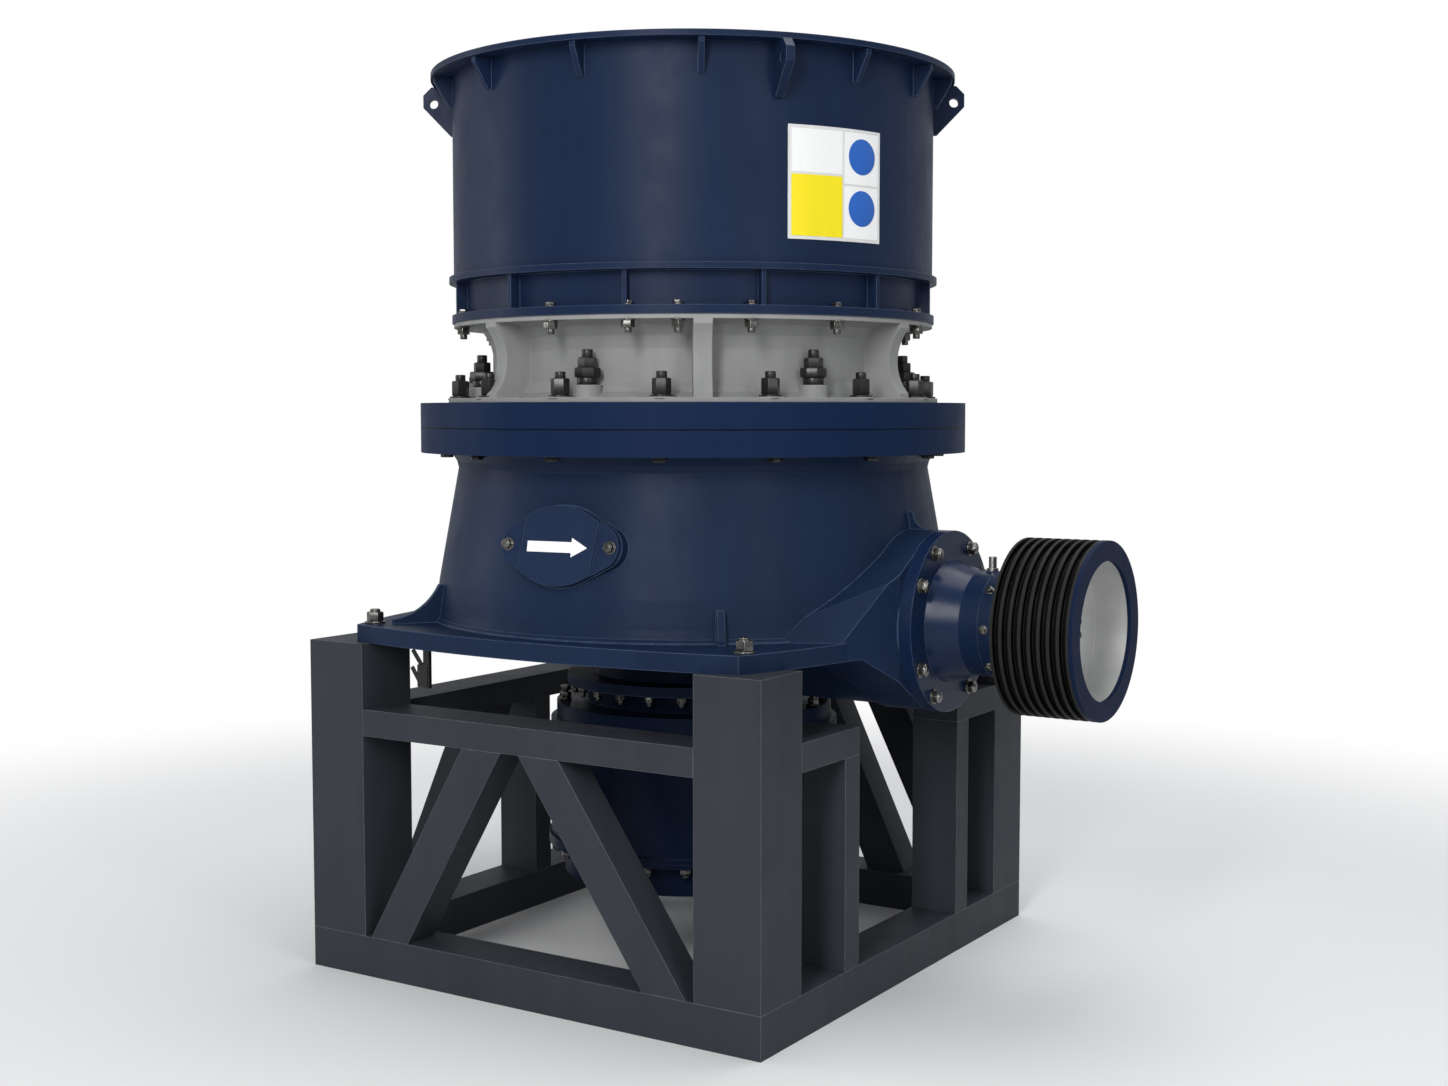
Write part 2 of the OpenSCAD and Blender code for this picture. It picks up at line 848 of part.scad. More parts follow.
module spider_arms() {
    difference() {
        intersection() {
            translate([-collar_in, -spider_w / 2, spider_z]) cube([2 * collar_in, spider_w, spider_h]);
            cylinder(r = collar_in - collar_edge, h = hopper_top);
            translate([0, spider_w, spider_z + spider_h + spider_crown - spider_arc])
                rotate([90, 0, 0]) cylinder(r = spider_arc, h = 2 * spider_w);
        }
        translate([0, 0, cast_top - eps]) cylinder(r = mantle_r_top + seat_room, h = spider_seat + eps);
    }
}

module spider() {
    color(cast_grey)
        union() {
            tube(collar_in - collar_edge, cast_in - 2, cast_top, spider_ring);
            spider_arms();
            translate([0, 0, cast_top + spider_seat])
                cylinder(r = cap_r + cap_seat, h = cap_z - cast_top - spider_seat);
            translate([0, 0, cap_z])
                rotate_extrude()
                    polygon([
                        [0, -eps],
                        [cap_r, -eps],
                        [cap_r, cap_h * 0.35],
                        [cap_r * 0.8, cap_h * 0.72],
                        [cap_r * 0.4, cap_h * 0.95],
                        [0, cap_h]
                    ]);
        }
}

// ---- Hopper

module hopper_collar() {
    color(navy)
        union() {
            tube(hopper_flange_r, collar_in, cast_top, hopper_flange);
            tube(collar_r, collar_in, cast_top, collar_h);
            tube(mid_ring_r, collar_in, mid_ring_z, mid_ring_t);
            for (k = [0:collar_ribs - 1])
                rotate([0, 0, -41.5 + 360 / collar_ribs * k])
                    translate([collar_r - 6, -plate_t / 2, cast_top + 10])
                        cube([hopper_r - collar_r + 6, plate_t, collar_h - 20]);
        }
}

module gusset(angle) {
    rotate([0, 0, angle])
        translate([0, gusset_t / 2, 0])
            rotate([90, 0, 0])
                linear_extrude(height = gusset_t)
                    polygon([
                        [hopper_r - 5, rim_z - gusset_h],
                        [hopper_r + 12, rim_z - gusset_h],
                        [rim_r - 8, rim_z - 14],
                        [rim_r - 8, rim_z - 1],
                        [hopper_r - 5, rim_z - 1]
                    ]);
}

module hopper_wall() {
    color(navy)
        union() {
            tube(hopper_r, hopper_r - plate_t, wall_z, rim_z - wall_z);
            for (a = gusset_angles) gusset(a);
        }
}

module hopper_rim() {
    color(navy) tube(rim_r, hopper_r - plate_t, rim_z, rim_t);
}

module lifting_lug(angle) {
    color(navy)
        rotate([0, 0, angle])
            translate([0, lug_t / 2, 0])
                rotate([90, 0, 0])
                    linear_extrude(height = lug_t)
                        difference() {
                            polygon([
                                [hopper_r, rim_z],
                                [hopper_r, rim_z - lug_h],
                                [hopper_r + 14, rim_z - lug_h],
                                [lug_r, rim_z - 62],
                                [lug_r, rim_z - 25],
                                [lug_r - 25, rim_z]
                            ]);
                            translate([lug_r - 31, rim_z - 50]) circle(d = lug_hole);
                        }
}

module label_plate() {
    color("gainsboro")
        translate([0, 0, wall_z + 65])
            rotate([0, 0, label_start])
                rotate_extrude(angle = label_angle)
                    translate([hopper_r, 0]) square([label_t, label_h]);
}

// ---- Drive

module drive_housing() {
    color(navy)
        difference() {
            union() {
                along_shaft(boss_face - 80) cylinder(r = bore_r - 2, h = 80 + eps);
                along_shaft(boss_face) cylinder(r = house_flange_r, h = house_flange_t);
                along_shaft(boss_face + house_flange_t)
                    cylinder(r1 = house_cone_r, r2 = house_neck_r, h = house_cone_l);
                along_shaft(boss_face + house_flange_t + house_cone_l)
                    cylinder(r = house_neck_r, h = house_neck_l);
                translate([house_end - 21, 0, shaft_z]) cylinder(r = 20, h = house_neck_r + 2);
            }
            along_shaft(boss_face - 90) cylinder(r = shaft_r + 12, h = house_end - boss_face + 90 + eps);
        }
}

module housing_end_cover() {
    color(navy)
        difference() {
            along_shaft(house_end) cylinder(r = house_neck_r, h = end_cover_t);
            along_shaft(house_end - eps) cylinder(r = shaft_r + bearing_gap, h = end_cover_t + 2 * eps);
        }
}

module breather() {
    color(silver)
        translate([house_end - 21, 0, shaft_z + house_neck_r + 2]) {
            cylinder(r = 16, h = 8);
            cylinder(r = 11, h = 40);
        }
}

module drive_shaft() {
    color(silver) {
        along_shaft(hub_r - 20) cylinder(r = shaft_r, h = hub_x + hub_l + shaft_proud - hub_r + 20);
        along_shaft(cover_end + collar_gap) cylinder(r = shaft_r + 13, h = hub_x - cover_end - collar_gap);
    }
}

module pulley_rim() {
    start = (pulley_w - face_t - grooves * groove_pitch) / 2;
    half = groove_pitch / 2;
    color(black)
        along_shaft(pulley_x)
            difference() {
                cylinder(r = pulley_r, h = pulley_w - face_t);
                translate([0, 0, -eps]) cylinder(r = rim_inner, h = pulley_w + 2 * eps);
                for (k = [0:grooves - 1])
                    translate([0, 0, start + half + k * groove_pitch])
                        rotate_extrude()
                            polygon([
                                [pulley_r + 5, ridge_half - half],
                                [pulley_r + 5, half - ridge_half],
                                [pulley_r - groove_depth, half - ridge_half - groove_slant],
                                [pulley_r - groove_depth, ridge_half + groove_slant - half]
                            ]);
            }
}

module pulley_face_ring() {
    color(navy)
        along_shaft(pulley_end - face_t)
            difference() {
                cylinder(r = pulley_r, h = face_t);
                translate([0, 0, -eps]) cylinder(r = face_inner, h = face_t + 2 * eps);
            }
}

module pulley_dish() {
    color(silver)
        difference() {
            union() {
                along_shaft(dish_x) cylinder(r = rim_inner - 0.3, h = pulley_end - face_t - dish_x);
                along_shaft(hub_x) cylinder(r = pulley_hub_r, h = dish_x - hub_x + eps);
            }
            along_shaft(dish_x + web_plate) cylinder(r = rim_inner - dish_wall, h = pulley_w);
            along_shaft(hub_x - eps) cylinder(r = shaft_r + 0.3, h = pulley_w);
        }
}

// ---- Hydraulic cylinder under the hub

module hydraulic_cylinder() {
    color(navy)
        union() {
            translate([0, 0, neck_z - eps]) cylinder(r = neck_r, h = neck_h + eps);
            translate([0, 0, cyl_top - cyl_flange_t]) cylinder(r = cyl_flange_r, h = cyl_flange_t);
            translate([0, 0, cyl_body_z]) cylinder(r = cyl_r, h = cyl_h);
            translate([0, 0, cyl_body_z]) cylinder(r = cyl_low_r, h = cyl_low_t);
        }
}

module cylinder_bottom_cover() {
    color(navy)
        union() {
            translate([0, 0, cyl_body_z - cyl_low_t]) cylinder(r = cyl_low_r, h = cyl_low_t);
            translate([0, 0, cyl_body_z - cyl_cover_h]) cylinder(r = cyl_cover_r, h = cyl_cover_h);
        }
}

stand_base();
corner_post(-1, -1);  // post_front_left
corner_post(1, -1);  // post_front_right
corner_post(-1, 1);  // post_back_left
corner_post(1, 1);  // post_back_right
top_rail_x(-1);  // top_rail_front
top_rail_x(1);  // top_rail_back
top_rail_left();
top_rail_right(-1);  // top_rail_right_front
top_rail_right(1);  // top_rail_right_back
brace(-1, -brace_foot, brace_top_left);  // brace_front_left
brace(-1, brace_foot, brace_top_right);  // brace_front_right
brace(1, -brace_foot, brace_top_left);  // brace_back_left
brace(1, brace_back_foot, brace_top_right);  // brace_back_right
back_strut();
brace_left();
mid_post(1, -mid_post_gap / 2, rail_z);  // mid_post_right_front
mid_post(1, mid_post_gap / 2, rail_z);  // mid_post_right_back
mid_post(-1, side_post, left_rail_z);  // mid_post_left
bottom_shell();
hub_and_arms();
lower_ring();
upper_ring();
inspection_cover();
top_shell();
chamber_liner();
mantle();
spider();
hopper_collar();
hopper_wall();
hopper_rim();
lifting_lug(lug_angles[0]);  // lifting_lug_front_right
lifting_lug(lug_angles[1]);  // lifting_lug_back_right
lifting_lug(lug_angles[2]);  // lifting_lug_back_left
lifting_lug(lug_angles[3]);  // lifting_lug_front_left
label_plate();
drive_housing();
housing_end_cover();
breather();
drive_shaft();
pulley_rim();
pulley_face_ring();
pulley_dish();
hydraulic_cylinder();
cylinder_bottom_cover();
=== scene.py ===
import math
import json
import bpy
from mathutils import Matrix, Vector

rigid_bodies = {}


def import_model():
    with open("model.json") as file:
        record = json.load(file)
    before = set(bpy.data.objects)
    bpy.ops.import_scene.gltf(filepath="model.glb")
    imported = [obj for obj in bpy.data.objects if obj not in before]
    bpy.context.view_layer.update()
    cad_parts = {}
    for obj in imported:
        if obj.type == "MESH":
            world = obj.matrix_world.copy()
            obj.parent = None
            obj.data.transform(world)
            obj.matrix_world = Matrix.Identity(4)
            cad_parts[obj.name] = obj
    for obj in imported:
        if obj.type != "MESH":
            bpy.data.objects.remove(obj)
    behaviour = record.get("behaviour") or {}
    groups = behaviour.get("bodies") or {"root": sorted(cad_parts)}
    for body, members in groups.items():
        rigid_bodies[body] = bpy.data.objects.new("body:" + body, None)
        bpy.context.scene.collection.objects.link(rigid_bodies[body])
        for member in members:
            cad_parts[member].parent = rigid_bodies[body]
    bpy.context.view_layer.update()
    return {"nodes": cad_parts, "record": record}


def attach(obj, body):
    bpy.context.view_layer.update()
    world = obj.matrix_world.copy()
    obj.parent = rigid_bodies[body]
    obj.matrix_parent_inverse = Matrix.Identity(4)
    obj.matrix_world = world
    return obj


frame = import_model()
bpy.ops.object.select_all(action="DESELECT")
scene = bpy.context.scene
scene.view_settings.view_transform = "Standard"
print("frame loaded:", len(frame["nodes"]), "CAD nodes")

shaftZ = 1.0545       # height of the drive shaft's axis
castAngle = -54.6     # degrees that the top shell's pattern is turned by
up = (0, 0, 1)
down = (0, 0, -1)
alongShaft = (1, 0, 0)


# camera, at eye height beside the drive end
cameraView = {
    "place": (3.127, -4.746, 1.65),
    "turn": 32.44,       # degrees to the left of the +Y direction
    "tilt": 4.09,        # degrees down
    "lens": 45.86,
    "sensor": 36,
    "farthest": 100,
}

cameraTurn = (math.radians(90 - cameraView["tilt"]), 0, math.radians(cameraView["turn"]))
bpy.ops.object.camera_add(location=cameraView["place"], rotation=cameraTurn)
camera = bpy.context.object
camera.name = "camera"
camera.data.lens = cameraView["lens"]
camera.data.sensor_width = cameraView["sensor"]
camera.data.clip_end = cameraView["farthest"]
scene.camera = camera
print("camera placed")


# tools for node trees
def setInputs(node, values):
    for socket, value in values.items():
        node.inputs[socket].default_value = value


def addNode(tree, kind, inputs=None, **settings):
    node = tree.nodes.new(kind)
    for key, value in settings.items():
        setattr(node, key, value)
    setInputs(node, inputs or {})
    return node


def addNoise(tree, coord, scale, detail, rough=0.55):
    noise = addNode(tree, "ShaderNodeTexNoise", {"Scale": scale, "Detail": detail, "Roughness": rough})
    tree.links.new(coord, noise.inputs["Vector"])
    return noise.outputs["Fac"]


def addRange(tree, value, before, after, fade="LINEAR"):
    # stretches the range before, lowest and highest, onto the range after
    ends = {"From Min": before[0], "From Max": before[1], "To Min": after[0], "To Max": after[1]}
    ramp = addNode(tree, "ShaderNodeMapRange", ends, clamp=True, interpolation_type=fade)
    tree.links.new(value, ramp.inputs["Value"])
    return ramp.outputs["Result"]


def addMath(tree, operation, first, second=0):
    node = addNode(tree, "ShaderNodeMath", operation=operation)
    for socket, value in zip(node.inputs, (first, second)):
        if isinstance(value, (int, float)):
            socket.default_value = value
        else:
            tree.links.new(value, socket)
    return node.outputs["Value"]


def mixColour(tree, factor, first, second):
    node = addNode(tree, "ShaderNodeMix", data_type="RGBA")
    tree.links.new(factor, node.inputs["Factor"])
    for socket, value in ((node.inputs["A"], first), (node.inputs["B"], second)):
        if isinstance(value, tuple):
            socket.default_value = (*value, 1)
        else:
            tree.links.new(value, socket)
    return node.outputs["Result"]


def mixShaders(tree, factor, first, second, output):
    mix = addNode(tree, "ShaderNodeMixShader")
    for socket, source in (("Fac", factor), (1, first), (2, second)):
        tree.links.new(source, mix.inputs[socket])
    tree.links.new(mix.outputs["Shader"], tree.nodes[output].inputs["Surface"])


def scaled(colour, factor):
    return tuple(min(1.0, part * factor) for part in colour)


# floor, sky and lamps
studio = {
    "floorSize": 60,
    "floorColour": (0.68, 0.68, 0.675),
    "floorRoughness": 0.9,
    "floorGloss": 0.2,
    "fade": (2.3, 5.0),  # distances from the axis: the floor begins to go white, and is white
    "skyColour": (0.92, 0.95, 1.0),
    "skyStrength": 0.6,
    "backdrop": 1.0,     # white behind the object
}

# place, aim, width and height, power
lamps = {
    "keyLamp": ((1.95, -6.0, 3.9), (0, 0, 1.4), (1.2, 3.2), 240),
    "fillLamp": ((5.2, -2.85, 3.0), (0.2, 0, 1.4), (0.8, 3.0), 46),
    "sideLamp": ((-5.6, -2.5, 2.6), (0, 0, 1.4), (1.0, 3.0), 45),
    "topLamp": ((0.5, 1.0, 7.0), (0, 0, 1.5), (4.0, 4.0), 240),
}


def makeFloor():
    bpy.ops.mesh.primitive_plane_add(size=studio["floorSize"], location=(0, 0, 0))
    floor = bpy.context.object
    floor.name = "studio_floor"
    material = bpy.data.materials.new("floorPaint")
    material.use_nodes = True
    tree = material.node_tree
    paint = tree.nodes["Principled BSDF"]
    setInputs(paint, {"Base Color": (*studio["floorColour"], 1), "Roughness": studio["floorRoughness"],
                      "Specular IOR Level": studio["floorGloss"]})
    coord = addNode(tree, "ShaderNodeTexCoord")
    reach = addNode(tree, "ShaderNodeVectorMath", operation="LENGTH")
    tree.links.new(coord.outputs["Object"], reach.inputs[0])
    fade = addRange(tree, reach.outputs["Value"], studio["fade"], (0, 1), "SMOOTHSTEP")
    path = addNode(tree, "ShaderNodeLightPath")
    seen = addMath(tree, "MULTIPLY", fade, path.outputs["Is Camera Ray"])
    white = addNode(tree, "ShaderNodeEmission", {"Strength": 1})
    mixShaders(tree, seen, paint.outputs["BSDF"], white.outputs["Emission"], "Material Output")
    floor.data.materials.append(material)


def makeWorld():
    world = bpy.data.worlds.new("studioSky")
    world.use_nodes = True
    scene.world = world
    tree = world.node_tree
    sky = tree.nodes["Background"]
    setInputs(sky, {"Color": (*studio["skyColour"], 1), "Strength": studio["skyStrength"]})
    white = addNode(tree, "ShaderNodeBackground", {"Color": (1, 1, 1, 1), "Strength": studio["backdrop"]})
    path = addNode(tree, "ShaderNodeLightPath")
    direct = addMath(tree, "MAXIMUM", path.outputs["Is Camera Ray"], path.outputs["Is Transmission Ray"])
    mixShaders(tree, direct, sky.outputs["Background"], white.outputs["Background"], "World Output")


def addLamp(name, place, aim, size, power):
    bpy.ops.object.light_add(type="AREA", location=place)
    lamp = bpy.context.object
    lamp.name = name
    lamp.data.shape = "RECTANGLE"
    lamp.data.size, lamp.data.size_y = size
    lamp.data.energy = power
    lamp.rotation_euler = (Vector(aim) - Vector(place)).to_track_quat("-Z", "Y").to_euler()


makeFloor()
makeWorld()
for lampName, lampValues in lamps.items():
    addLamp(lampName, *lampValues)
print("studio lit")


# finishes: colours are linear, sizes in metres
# shade is how uneven the colour is, grain and grainScale are the depth and fineness of the skin,
# edge is the width of a rubbed edge, and the two keys after it give how much of which colour shows on it:
# part wear, part painted highlight
paintFinishes = {
    "frame_paint": {
        "colour": (0.031, 0.0345, 0.042), "shade": 0.10, "roughness": 0.50, "gloss": 0.12,
        "grain": 0.10, "grainScale": 240,
        "edge": 0.0030, "wearAndHighlight": 0.75, "wearAndHighlightColour": (0.17, 0.18, 0.19)},
    "shell_blue": {
        "colour": (0.0085, 0.0179, 0.0450), "shade": 0.12, "roughness": 0.42, "gloss": 0.08,
        "grain": 0.16, "grainScale": 110,
        "edge": 0.004, "wearAndHighlight": 0.75, "wearAndHighlightColour": (0.09, 0.125, 0.22)},
    "ring_blue": {
        "colour": (0.0053, 0.0150, 0.046), "shade": 0.06, "roughness": 0.46, "gloss": 0.05,
        "grain": 0.05, "grainScale": 300,
        "edge": 0.004, "wearAndHighlight": 0.30, "wearAndHighlightColour": (0.05, 0.075, 0.14),
        "seam": 1.6005},     # height of the joint between the two big rings
    "drive_blue": {
        "colour": (0.0062, 0.0155, 0.046), "shade": 0.10, "roughness": 0.27, "gloss": 0.17,
        "grain": 0.10, "grainScale": 160,
        "edge": 0.0035, "wearAndHighlight": 0.50, "wearAndHighlightColour": (0.075, 0.10, 0.18)},
    "faceBlue": {
        "colour": (0.0062, 0.0128, 0.036), "shade": 0.05, "roughness": 0.46, "gloss": 0.04,
        "grain": 0.04, "grainScale": 300,
        "edge": 0.003, "wearAndHighlight": 0.30, "wearAndHighlightColour": (0.05, 0.075, 0.14)},
    "coverBlue": {
        "colour": (0.0125, 0.0225, 0.0530), "shade": 0.08, "roughness": 0.44, "gloss": 0.06,
        "grain": 0.06, "grainScale": 200,
        "edge": 0.003, "wearAndHighlight": 0.50, "wearAndHighlightColour": (0.09, 0.125, 0.22)},
    "hopper_blue": {
        "colour": (0.0072, 0.0160, 0.044), "shade": 0.10, "roughness": 0.41, "gloss": 0.10,
        "grain": 0.06, "grainScale": 260,
        "edge": 0.0035, "wearAndHighlight": 0.65, "wearAndHighlightColour": (0.10, 0.13, 0.21)},
    # the cylinder's colour is darker than the other blues: painted shade for the shadow it stands in
    "cylinder_blue": {
        "colour": (0.0035, 0.0085, 0.026), "shade": 0.10, "roughness": 0.38, "gloss": 0.06,
        "grain": 0.08, "grainScale": 200,
        "edge": 0.004, "wearAndHighlight": 0.25, "wearAndHighlightColour": (0.05, 0.07, 0.12)},
    "cast_grey": {
        "colour": (0.245, 0.245, 0.242), "shade": 0.10, "roughness": 0.58, "gloss": 0.30,
        "grain": 0.30, "grainScale": 95,
        "edge": 0.006, "wearAndHighlight": 0.25, "wearAndHighlightColour": (0.36, 0.36, 0.35)},
    "label_sheet": {
        "colour": (0.62, 0.62, 0.61), "shade": 0.05, "roughness": 0.35, "gloss": 0.4,
        "grain": 0.02, "grainScale": 300,
        "edge": 0.001, "wearAndHighlight": 0.2, "wearAndHighlightColour": (0.3, 0.3, 0.3)},
    "pulley_black": {
        "colour": (0.0012, 0.0012, 0.0013), "shade": 0.2, "roughness": 0.45, "gloss": 0.06,
        "grain": 0.04, "grainScale": 260,
        "edge": 0.0010, "wearAndHighlight": 0.5, "wearAndHighlightColour": (0.20, 0.20, 0.20),
        "crest": 0.2448,     # the ridges carry a painted highlight beyond this distance from the drive shaft's axis
        "crestHighlightColour": (0.019, 0.019, 0.0185)},
    "manganese": {
        "colour": (0.10, 0.092, 0.085), "shade": 0.35, "roughness": 0.62, "gloss": 0.4,
        "grain": 0.6, "grainScale": 60,
        "edge": 0.006, "wearAndHighlight": 0.6, "wearAndHighlightColour": (0.3, 0.29, 0.28)},
    "blackNuts": {
        "colour": (0.0065, 0.0065, 0.007), "shade": 0.3, "roughness": 0.34, "gloss": 0.45,
        "grain": 0.08, "grainScale": 500,
        "edge": 0.0012, "wearAndHighlight": 0.5, "wearAndHighlightColour": (0.11, 0.11, 0.11)},
    "arrowWhite": {
        "colour": (0.78, 0.78, 0.77), "shade": 0.04, "roughness": 0.45, "gloss": 0.3,
        "grain": 0.05, "grainScale": 300,
        "edge": 0.001, "wearAndHighlight": 0.2, "wearAndHighlightColour": (0.4, 0.42, 0.46)},
    "labelYellow": {
        "colour": (0.80, 0.66, 0.004), "shade": 0.05, "roughness": 0.35, "gloss": 0.4,
        "grain": 0.02, "grainScale": 300,
        "edge": 0.001, "wearAndHighlight": 0.2, "wearAndHighlightColour": (0.5, 0.42, 0.05)},
    "labelBlue": {
        "colour": (0.012, 0.10, 0.42), "shade": 0.05, "roughness": 0.35, "gloss": 0.4,
        "grain": 0.02, "grainScale": 300,
        "edge": 0.001, "wearAndHighlight": 0.2, "wearAndHighlightColour": (0.05, 0.15, 0.4)},
}

# dark is how dark tarnish is beside the colour, ringSize and ringBump are the spacing and depth
# of the turning marks, and the last key is how much brighter an edge is painted, as a painted highlight
metalFinishes = {
    "machined_steel": {
        "colour": (0.58, 0.58, 0.57), "dark": 0.90, "roughness": 0.42, "metal": 0.55,
        "ringSize": 0.004, "ringBump": 0.08, "edge": 0.002, "edgeHighlightLift": 1.3},
    "breather_steel": {
        "colour": (0.46, 0.45, 0.42), "dark": 0.55, "roughness": 0.34, "metal": 0.9,
        "ringSize": 0.0015, "ringBump": 0.2, "edge": 0.001, "edgeHighlightLift": 1.4},
    "brightBolts": {
        "colour": (0.15, 0.146, 0.135), "dark": 0.30, "roughness": 0.27, "metal": 0.9,
        "ringSize": 0.002, "ringBump": 0.06, "edge": 0.0014, "edgeHighlightLift": 4.2},
}

# shared by all paints; a noise is given as scale, detail and roughness, and its range as the
# values that count as none and full
paintDetail = {
    "patches": (1.7, 3),
    "runs": (1.0, 4),
    "runStretch": (14, 14, 1.1),
    "unevenRange": (0.36, 0.64),
    "specks": (42, 5, 0.7),
    "speckRange": (0.60, 0.78),
    "speckShare": (0, 0.35),
    "speckLift": 1.45,
    "edgePatches": (26, 6, 0.7),
    "edgePatchRange": (0.38, 0.62),
    "edgePatchShare": (0.5, 1),
    "sheen": (9, 5, 0.65),
    "sheenRange": (0.3, 0.7),
    "sheenSpread": (-0.05, 0.07),    # added to the finish's roughness
    "grainDetail": 3,
    "grainDepth": 0.0012,
}
metalDetail = {
    "tarnish": (18, 6, 0.7),
    "tarnishRange": (0.35, 0.68),
    "edgeHighlightShare": 0.7,
    "sheen": (60, 4, 0.6),
    "sheenRange": (0.3, 0.7),
    "sheenSpread": (-0.08, 0.10),
    "markDistortion": 0.6,
    "markDetail": 2,
    "markDepth": 0.0003,
}
# range: how far the rounded normal turns from the true one, as a cosine, where an edge's painted highlight,
# and on paint its wear, begins and is full
edgeMaskSettings = {"samples": 6, "range": (0.988, 0.93)}
# range: distances from the joint's middle where its dark line begins to fade and is gone
seamLook = {"range": (0.0014, 0.0024), "share": (0.9, 0), "colour": (0.0008, 0.0012, 0.003)}
crestFade = 0.001     # width of the border between the black and the painted highlight on a ridge


def edgeMask(tree, bevelNormal):
    # 1 on sharp edges, 0 on flat ground
    here = addNode(tree, "ShaderNodeNewGeometry")
    dot = addNode(tree, "ShaderNodeVectorMath", operation="DOT_PRODUCT")
    tree.links.new(bevelNormal, dot.inputs[0])
    tree.links.new(here.outputs["Normal"], dot.inputs[1])
    return addRange(tree, dot.outputs["Value"], edgeMaskSettings["range"], (0, 1))


def startMaterial(name, edge):
    material = bpy.data.materials.new(name)
    material.use_nodes = True
    tree = material.node_tree
    coord = addNode(tree, "ShaderNodeTexCoord").outputs["Object"]
    bevel = addNode(tree, "ShaderNodeBevel", {"Radius": edge}, samples=edgeMaskSettings["samples"])
    return material, tree, tree.nodes["Principled BSDF"], coord, bevel.outputs["Normal"]


def splitCoord(tree, coord):
    split = addNode(tree, "ShaderNodeSeparateXYZ")
    tree.links.new(coord, split.inputs["Vector"])
    return split.outputs


def paintOver(tree, surface, mask, colour):
    painted = surface.inputs["Base Color"].links[0].from_socket
    tree.links.new(mixColour(tree, mask, painted, colour), surface.inputs["Base Color"])


def darkenSeam(tree, coord, surface, height):
    # a thin dark joint between two parts that lie on each other
    rise = addMath(tree, "SUBTRACT", splitCoord(tree, coord)["Z"], height)
    joint = addRange(tree, addMath(tree, "ABSOLUTE", rise), seamLook["range"], seamLook["share"])
    paintOver(tree, surface, joint, seamLook["colour"])


def paintCrestHighlight(tree, coord, surface, look):
    # a painted highlight on the ridges between the belt grooves, by distance from the drive shaft
    split = splitCoord(tree, coord)
    rise = addMath(tree, "SUBTRACT", split["Z"], shaftZ)
    reach = addMath(tree, "ADD", addMath(tree, "MULTIPLY", rise, rise),
                    addMath(tree, "MULTIPLY", split["Y"], split["Y"]))
    crest = (look["crest"], look["crest"] + crestFade)
    litRidge = addRange(tree, addMath(tree, "SQRT", reach), crest, (0, 1))
    paintOver(tree, surface, litRidge, look["crestHighlightColour"])


def addSheen(tree, coord, surface, roughness, detail):
    # the surface's roughness changes a little from place to place
    sheen = addNoise(tree, coord, *detail["sheen"])
    limits = tuple(roughness + change for change in detail["sheenSpread"])
    tree.links.new(addRange(tree, sheen, detail["sheenRange"], limits), surface.inputs["Roughness"])


def addBump(tree, surface, height, rounded, strength, depth):
    bump = addNode(tree, "ShaderNodeBump", {"Strength": strength, "Distance": depth})
    tree.links.new(height, bump.inputs["Height"])
    tree.links.new(rounded, bump.inputs["Normal"])
    tree.links.new(bump.outputs["Normal"], surface.inputs["Normal"])


def makePaint(name, look):
    material, tree, surface, coord, rounded = startMaterial(name, look["edge"])
    colour, shade, detail = look["colour"], look["shade"], paintDetail
    # large soft patches, upright run marks and fine specks make the colour uneven
    patches = addNoise(tree, coord, *detail["patches"])
    stretch = addNode(tree, "ShaderNodeMapping", {"Scale": detail["runStretch"]})
    tree.links.new(coord, stretch.inputs["Vector"])
    runs = addNoise(tree, stretch.outputs["Vector"], *detail["runs"])
    halves = [addMath(tree, "MULTIPLY", noise, 0.5) for noise in (patches, runs)]
    uneven = addRange(tree, addMath(tree, "ADD", *halves), detail["unevenRange"], (0, 1))
    body = mixColour(tree, uneven, scaled(colour, 1 - shade), scaled(colour, 1 + shade))
    specks = addRange(tree, addNoise(tree, coord, *detail["specks"]),
                      detail["speckRange"], detail["speckShare"])
    flecked = mixColour(tree, specks, body, scaled(colour, detail["speckLift"]))
    # rubbed edges, partly wear and partly a painted highlight along them
    edgePatches = addRange(tree, addNoise(tree, coord, *detail["edgePatches"]),
                      detail["edgePatchRange"], detail["edgePatchShare"])
    patchyEdges = addMath(tree, "MULTIPLY", edgeMask(tree, rounded), edgePatches)
    rubbedAndLit = addMath(tree, "MULTIPLY", patchyEdges, look["wearAndHighlight"])
    tree.links.new(mixColour(tree, rubbedAndLit, flecked, look["wearAndHighlightColour"]), surface.inputs["Base Color"])
    addSheen(tree, coord, surface, look["roughness"], detail)
    surface.inputs["Specular IOR Level"].default_value = look["gloss"]
    if "seam" in look:
        darkenSeam(tree, coord, surface, look["seam"])
    # painted highlight on the pulley's ridges
    if "crest" in look:
        paintCrestHighlight(tree, coord, surface, look)
    # sprayed or cast skin
    grain = addNoise(tree, coord, look["grainScale"], detail["grainDetail"])
    addBump(tree, surface, grain, rounded, look["grain"], detail["grainDepth"])
    return material


